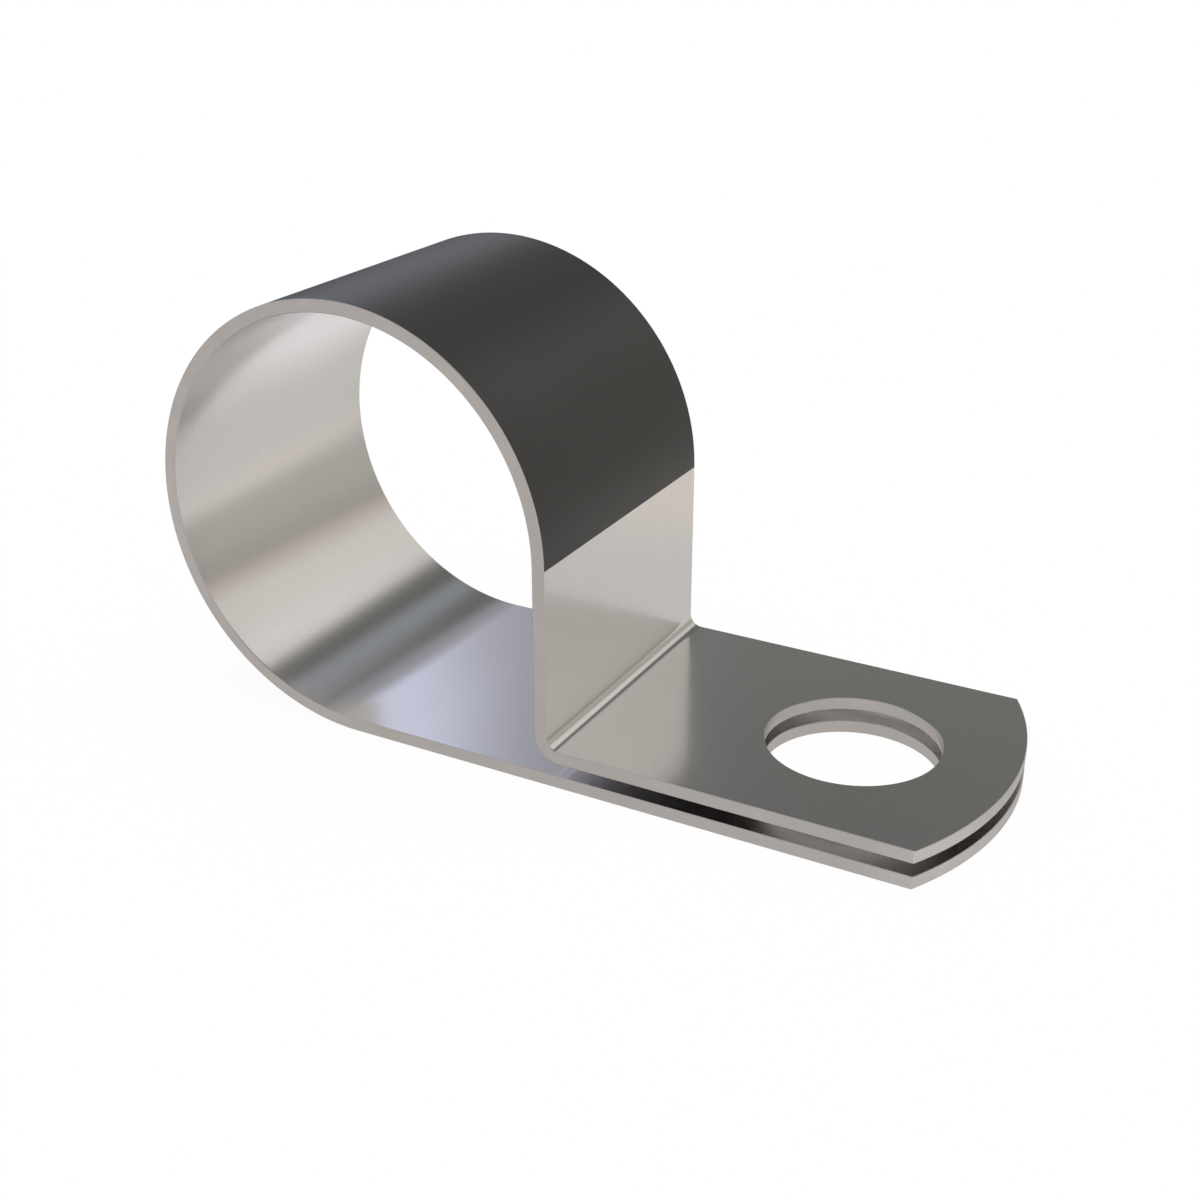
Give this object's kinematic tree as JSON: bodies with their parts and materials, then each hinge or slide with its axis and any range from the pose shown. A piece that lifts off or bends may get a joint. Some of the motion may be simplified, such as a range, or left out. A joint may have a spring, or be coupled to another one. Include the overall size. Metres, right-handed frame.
{
  "type": "p clip",
  "caption": "Folded stainless strip clip: a round loop holds a cable or pipe, and a bolt through its foot and leg fixes it to a panel and draws it shut.",
  "frame": {"origin": "centre of the bolt hole on the face that meets the panel", "axes": "+Z out of the panel along the bolt, +X along the strip away from the loop, +Y across the strip, along the cable"},
  "size_m": [0.0325, 0.012, 0.017],
  "materials": {
    "stainless_steel": "satin stainless steel, with the loop's outer face darkened to a satin black"
  },
  "bodies": {
    "root": {"strap": "stainless_steel"}
  },
  "joints": []
}
